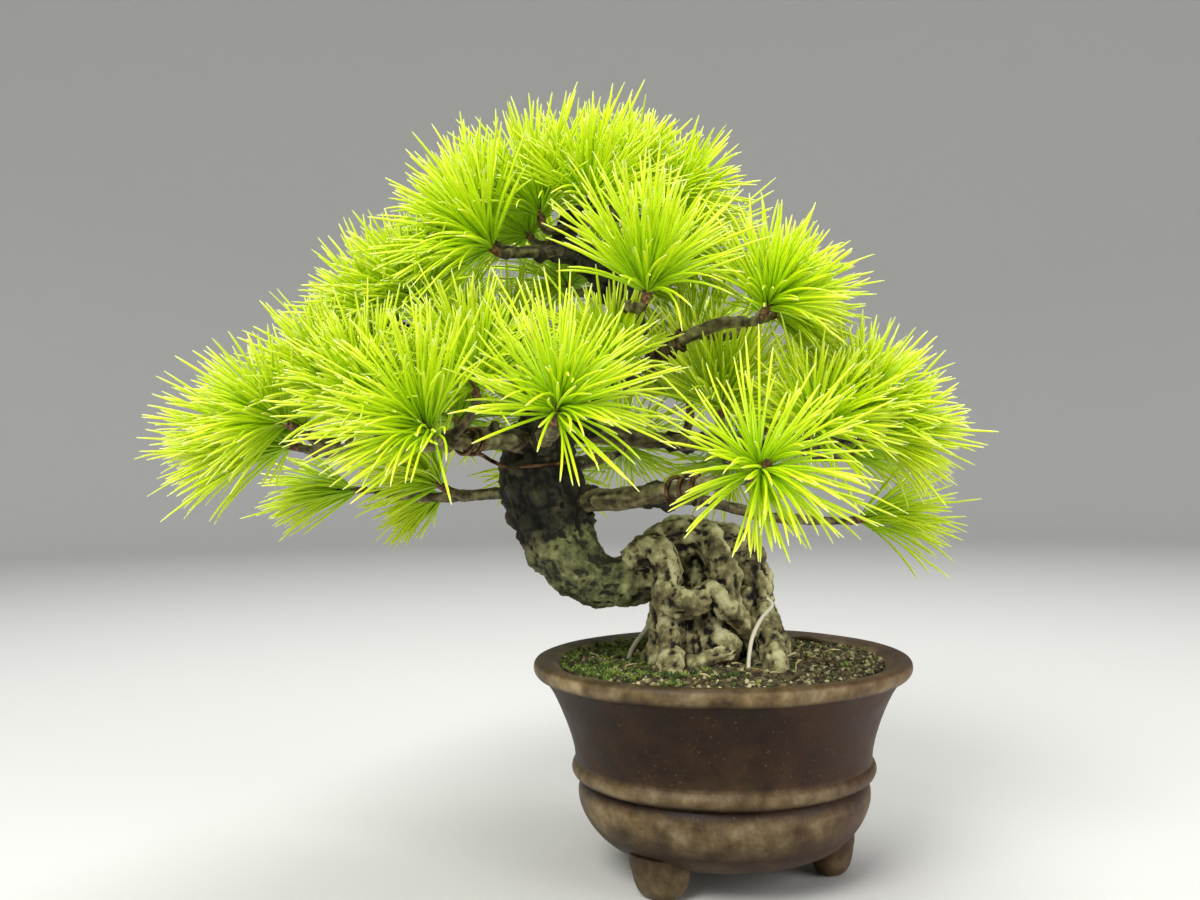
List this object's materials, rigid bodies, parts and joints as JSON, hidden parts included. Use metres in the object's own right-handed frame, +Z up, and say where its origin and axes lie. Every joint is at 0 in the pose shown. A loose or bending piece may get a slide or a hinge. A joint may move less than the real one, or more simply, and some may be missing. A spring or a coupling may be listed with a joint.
{
  "type": "japanese white pine bonsai",
  "caption": "Dwarf five-needle pine with exposed roots, a bent trunk and layered needle sprays, planted in a round unglazed stoneware pot on nub feet.",
  "frame": {"origin": "bottom centre of the whole object's box, on the surface that the pot's feet stand on; the pot's axis is 42.4 mm towards +X of it because the crown reaches out to the left", "axes": "+Z up, -Y towards the viewer of the tree's front, +X to that viewer's right, along the widest side"},
  "size_m": [0.2337, 0.1685, 0.2289],
  "materials": {
    "stoneware": "satin",
    "net": "matte",
    "soil": "matte",
    "bark": "matte",
    "wire": "satin",
    "needles": "satin"
  },
  "bodies": {
    "root": {"pot": "stoneware", "drainage_net": "net", "soil": "soil", "tree_wood": "bark", "wire_first_left": "wire", "wire_low_right": "wire", "wire_upper_right": "wire", "spray_left_tip": "needles", "spray_left_upper_front": "needles", "spray_left_crest": "needles", "spray_left_behind": "needles", "spray_left_shelf": "needles", "spray_left_shelf_top": "needles", "spray_left_shelf_front": "needles", "spray_front_left_low": "needles", "spray_front_left_high": "needles", "spray_front_middle": "needles", "spray_front_star": "needles", "spray_front_upper": "needles", "spray_front_inner": "needles", "spray_right_upper_front": "needles", "spray_right_upper_side": "needles", "spray_right_upper_back": "needles", "spray_right_shelf_top": "needles", "spray_right_tip": "needles", "spray_right_shelf_front": "needles", "spray_right_inner": "needles", "spray_right_inner_back": "needles", "spray_right_shelf_back": "needles", "spray_right_low_tip": "needles", "spray_right_back_side": "needles", "spray_low_left_tip": "needles", "spray_low_left_under": "needles", "spray_low_left_side": "needles", "spray_top_left": "needles", "spray_top_left_crest": "needles", "spray_top_middle": "needles", "spray_top_front": "needles", "spray_top_crest": "needles", "spray_top_right": "needles", "spray_top_back": "needles", "spray_top_back_left": "needles", "spray_top_back_right": "needles", "spray_back_crest": "needles", "spray_back_crest_right": "needles", "spray_back_left_shelf": "needles", "spray_back_left_middle": "needles", "spray_left_shelf_back": "needles", "spray_back_left_tip": "needles", "spray_back_left": "needles", "spray_back_left_inner": "needles", "spray_back_low": "needles", "spray_back_low_left": "needles", "spray_back_middle": "needles", "spray_back_right": "needles", "spray_back_right_low": "needles"}
  },
  "joints": []
}
